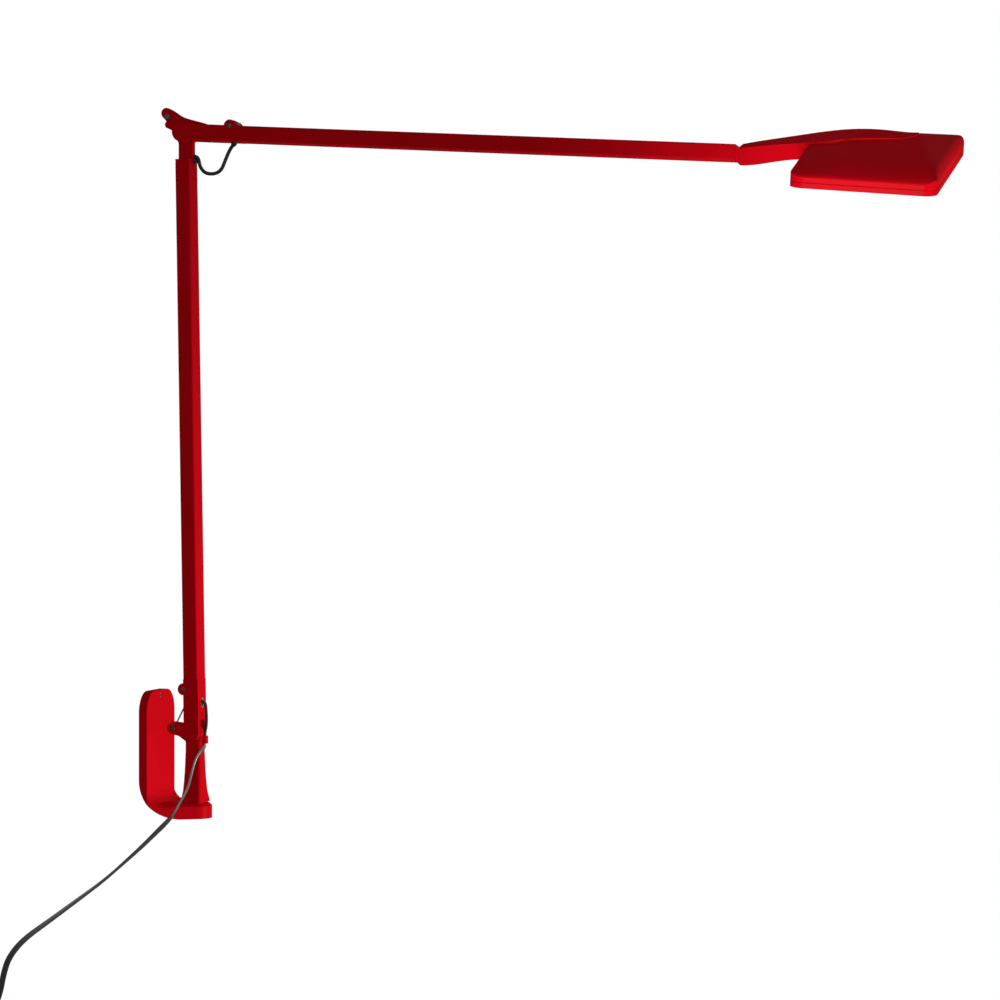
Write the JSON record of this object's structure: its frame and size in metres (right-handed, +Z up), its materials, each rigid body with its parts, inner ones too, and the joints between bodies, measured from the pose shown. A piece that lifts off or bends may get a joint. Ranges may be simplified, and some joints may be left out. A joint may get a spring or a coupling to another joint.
{
  "type": "architect desk lamp",
  "caption": "Wall-mounted task lamp: bent bracket, swivelling post, two square-tube arms with horned joints and a flat rectangular light head on a low-voltage cord",
  "frame": {"origin": "centre of the wall bracket's back face, on the wall", "axes": "+X away from the wall, +Y along the wall, +Z up"},
  "size_m": [0.5674, 0.3924, 0.7455],
  "materials": {
    "red_enamel": "gloss enamel",
    "black_plastic": "satin",
    "steel": "plain",
    "cord_rubber": "satin",
    "nylon": "plain",
    "opal": "opal",
    "board": "white solder mask",
    "chips": "phosphor",
    "aluminium": "extruded"
  },
  "bodies": {
    "bracket": {"wall_bracket": "red_enamel", "fixing_plate": "steel", "bracket_grub_screw": "steel", "swivel_pin": "steel", "swivel_washer": "nylon", "mains_cord": "cord_rubber", "cord_coil": "cord_rubber", "coil_tie": "black_plastic", "adapter_lead": "cord_rubber", "power_adapter": "black_plastic", "adapter_pin_1": "steel", "adapter_pin_2": "steel"},
    "post": {"swivel_post": "red_enamel", "shoulder_barrel": "black_plastic", "cord_clip": "red_enamel"},
    "lower_arm": {"lower_root": "red_enamel", "shoulder_pin": "steel", "lower_tube": "red_enamel", "lower_pulley_axle": "black_plastic", "lower_spring_sleeve": "steel", "lower_spring_anchor": "steel", "slot_rim": "steel", "lower_cap": "red_enamel", "elbow_blade": "red_enamel", "elbow_barrel": "black_plastic", "cord_lead": "cord_rubber", "shoulder_wire": "steel"},
    "lower_sheave": {"lower_pulley": "black_plastic"},
    "upper_arm": {"upper_root": "red_enamel", "elbow_pin": "steel", "upper_tube": "red_enamel", "upper_pulley_axle": "black_plastic", "upper_spring_sleeve": "steel", "upper_spring_anchor": "steel", "upper_ferrule": "red_enamel", "elbow_cable": "cord_rubber", "elbow_wire": "steel"},
    "upper_sheave": {"upper_pulley": "black_plastic"},
    "head_swivel": {"head_spindle": "red_enamel"},
    "head": {"head_spine": "red_enamel", "tilt_pin": "steel", "head_cover": "red_enamel", "head_rim": "red_enamel", "diffuser": "opal", "led_board": "board", "led_chips": "chips", "heat_spreader": "aluminium", "rim_screw_1": "steel", "rim_screw_2": "steel", "rim_screw_3": "steel", "rim_screw_4": "steel"},
    "button": {"push_button": "black_plastic"}
  },
  "joints": [
    {"name": "swivel", "type": "hinge", "parent": "bracket", "child": "post", "pos_m": [0.032, 0, -0.031], "axis": [0, 0, 1], "range_deg": [-80, 80], "deforming": ["mains_cord"]},
    {"name": "shoulder", "type": "hinge", "parent": "post", "child": "lower_arm", "pos_m": [0.032, 0, 0.018], "axis": [0, 1, 0], "range_deg": [-18, 60], "deforming": ["cord_lead", "shoulder_wire"]},
    {"name": "lower_sheave_spin", "type": "hinge", "parent": "lower_arm", "child": "lower_sheave", "pos_m": [0.02619, 0, 0.04891], "axis": [0, 1, 0], "range_deg": [-240, 72]},
    {"name": "elbow", "type": "hinge", "parent": "lower_arm", "child": "upper_arm", "pos_m": [0.02493, 0, 0.44434], "axis": [0, 1, 0], "range_deg": [-45, 50], "deforming": ["elbow_cable", "elbow_wire"]},
    {"name": "upper_sheave_spin", "type": "hinge", "parent": "upper_arm", "child": "upper_sheave", "pos_m": [0.06081, 0, 0.44721], "axis": [0, 1, 0], "range_deg": [-100, 90]},
    {"name": "head_roll", "type": "hinge", "parent": "upper_arm", "child": "head_swivel", "pos_m": [0.42101, 0, 0.41734], "axis": [0.9977, 0, -0.068], "range_deg": [-75, 75]},
    {"name": "head_tilt", "type": "hinge", "parent": "head_swivel", "child": "head", "pos_m": [0.42859, 0, 0.41682], "axis": [0.0187, 0.9613, 0.275], "range_deg": [-50, 60]},
    {"name": "button_press", "type": "slide", "parent": "head", "child": "button", "axis": [0.0915, -0.2755, 0.9569], "range_m": [0, 0.0008]}
  ],
  "couplings": [
    {"joint": "lower_sheave_spin", "follows": "shoulder", "ratio": -3.934},
    {"joint": "upper_sheave_spin", "follows": "elbow", "ratio": -1.9545}
  ]
}
